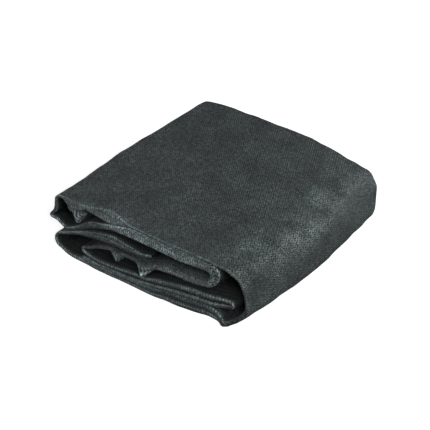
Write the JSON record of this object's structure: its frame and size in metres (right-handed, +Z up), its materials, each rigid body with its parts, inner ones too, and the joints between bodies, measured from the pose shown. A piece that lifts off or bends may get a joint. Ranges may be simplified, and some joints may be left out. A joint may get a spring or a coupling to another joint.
{
  "type": "folded shade cloth",
  "caption": "Knitted polyethylene shade cloth, doubled and folded back and forth into a flat bundle wrapped by its own outer run.",
  "frame": {"origin": "on the surface it rests on, under the middle of the bundle's bounding box", "axes": "+X from the loose folded ends to the smooth spine, +Y from the folded front edges to the back edges, +Z up"},
  "size_m": [0.3378, 0.3464, 0.0794],
  "materials": {
    "shade_cloth": "matte knit with a slight sheen"
  },
  "bodies": {
    "root": {"shade_cloth": "shade_cloth"}
  },
  "joints": []
}
